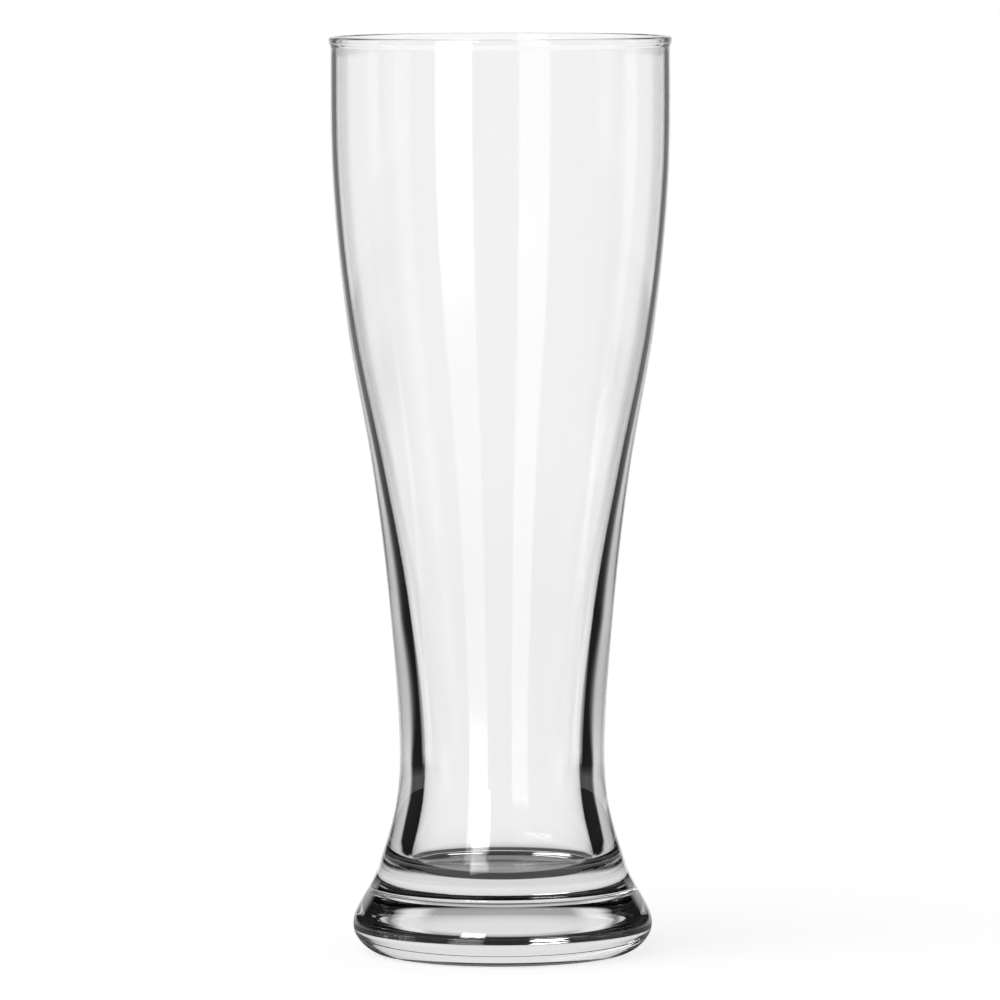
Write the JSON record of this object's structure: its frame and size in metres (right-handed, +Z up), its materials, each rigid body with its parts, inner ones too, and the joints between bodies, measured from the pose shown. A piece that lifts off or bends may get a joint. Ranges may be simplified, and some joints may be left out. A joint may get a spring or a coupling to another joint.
{
  "type": "pilsner glass",
  "caption": "Tall clear beer glass: a flared thin-walled bowl narrowing to a waist, on a heavy solid flared foot.",
  "frame": {"origin": "centre of the resting ring, on the surface that the glass stands on", "axes": "+Z up along the axis of the glass, towards the mouth; X and Y are equal because the glass is round"},
  "size_m": [0.0828, 0.0828, 0.222],
  "materials": {
    "bowl_glass": "clear, fire polished",
    "foot_glass": "clear, fire polished"
  },
  "bodies": {
    "root": {"bowl": "bowl_glass", "foot": "foot_glass"}
  },
  "joints": []
}
